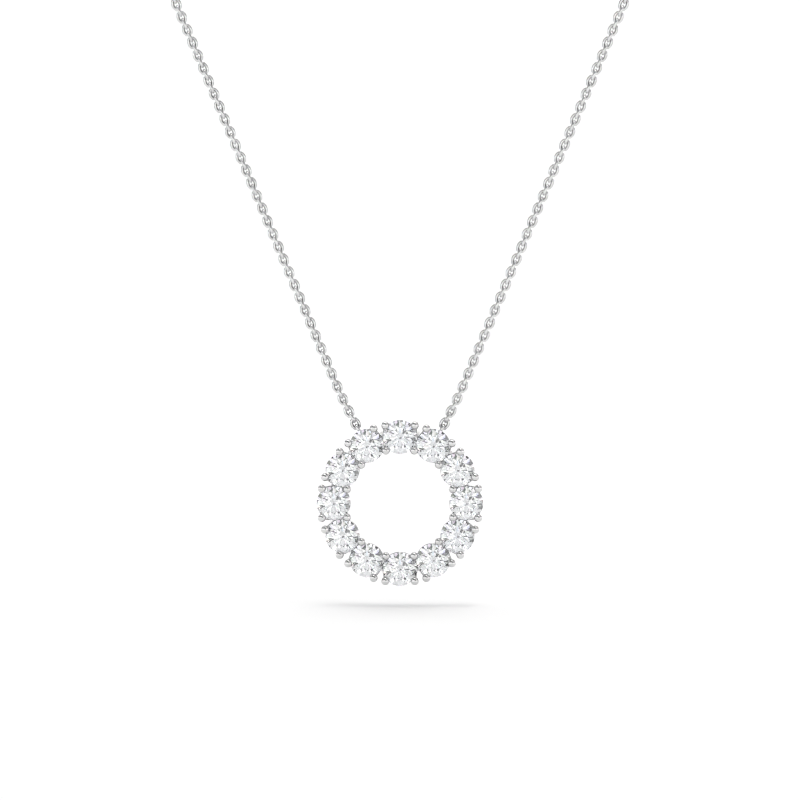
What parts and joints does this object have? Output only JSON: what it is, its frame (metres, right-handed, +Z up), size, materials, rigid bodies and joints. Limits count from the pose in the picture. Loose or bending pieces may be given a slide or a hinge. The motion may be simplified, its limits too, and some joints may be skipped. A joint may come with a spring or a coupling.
{
  "type": "open circle pendant necklace",
  "caption": "Open circle of round brilliant stones in shared beads, hung from both sides on a fine cable chain.",
  "frame": {"origin": "top of the neck loop, in the middle of the clasp's eyes, where the necklace hangs at the nape", "axes": "+Z up, -Y out of the pendant's front, +X to the right as the pendant is seen from the front"},
  "size_m": [0.1086, 0.0029, 0.2003],
  "materials": {
    "white_gold": "bright polished white gold",
    "clear_stone": "faceted and polished, colourless"
  },
  "bodies": {
    "chain": {"chain_left": "white_gold", "chain_right": "white_gold", "end_link_left": "white_gold", "end_link_right": "white_gold", "clasp": "white_gold"},
    "pendant": {"setting": "white_gold", "stone_01": "clear_stone", "stone_02": "clear_stone", "stone_03": "clear_stone", "stone_04": "clear_stone", "stone_05": "clear_stone", "stone_06": "clear_stone", "stone_07": "clear_stone", "stone_08": "clear_stone", "stone_09": "clear_stone", "stone_10": "clear_stone", "stone_11": "clear_stone", "stone_12": "clear_stone"}
  },
  "joints": [
    {"name": "pendant_swing", "type": "hinge", "parent": "chain", "child": "pendant", "pos_m": [0, 0, -0.18407], "axis": [1, 0, 0], "range_deg": [-55, 55]}
  ]
}
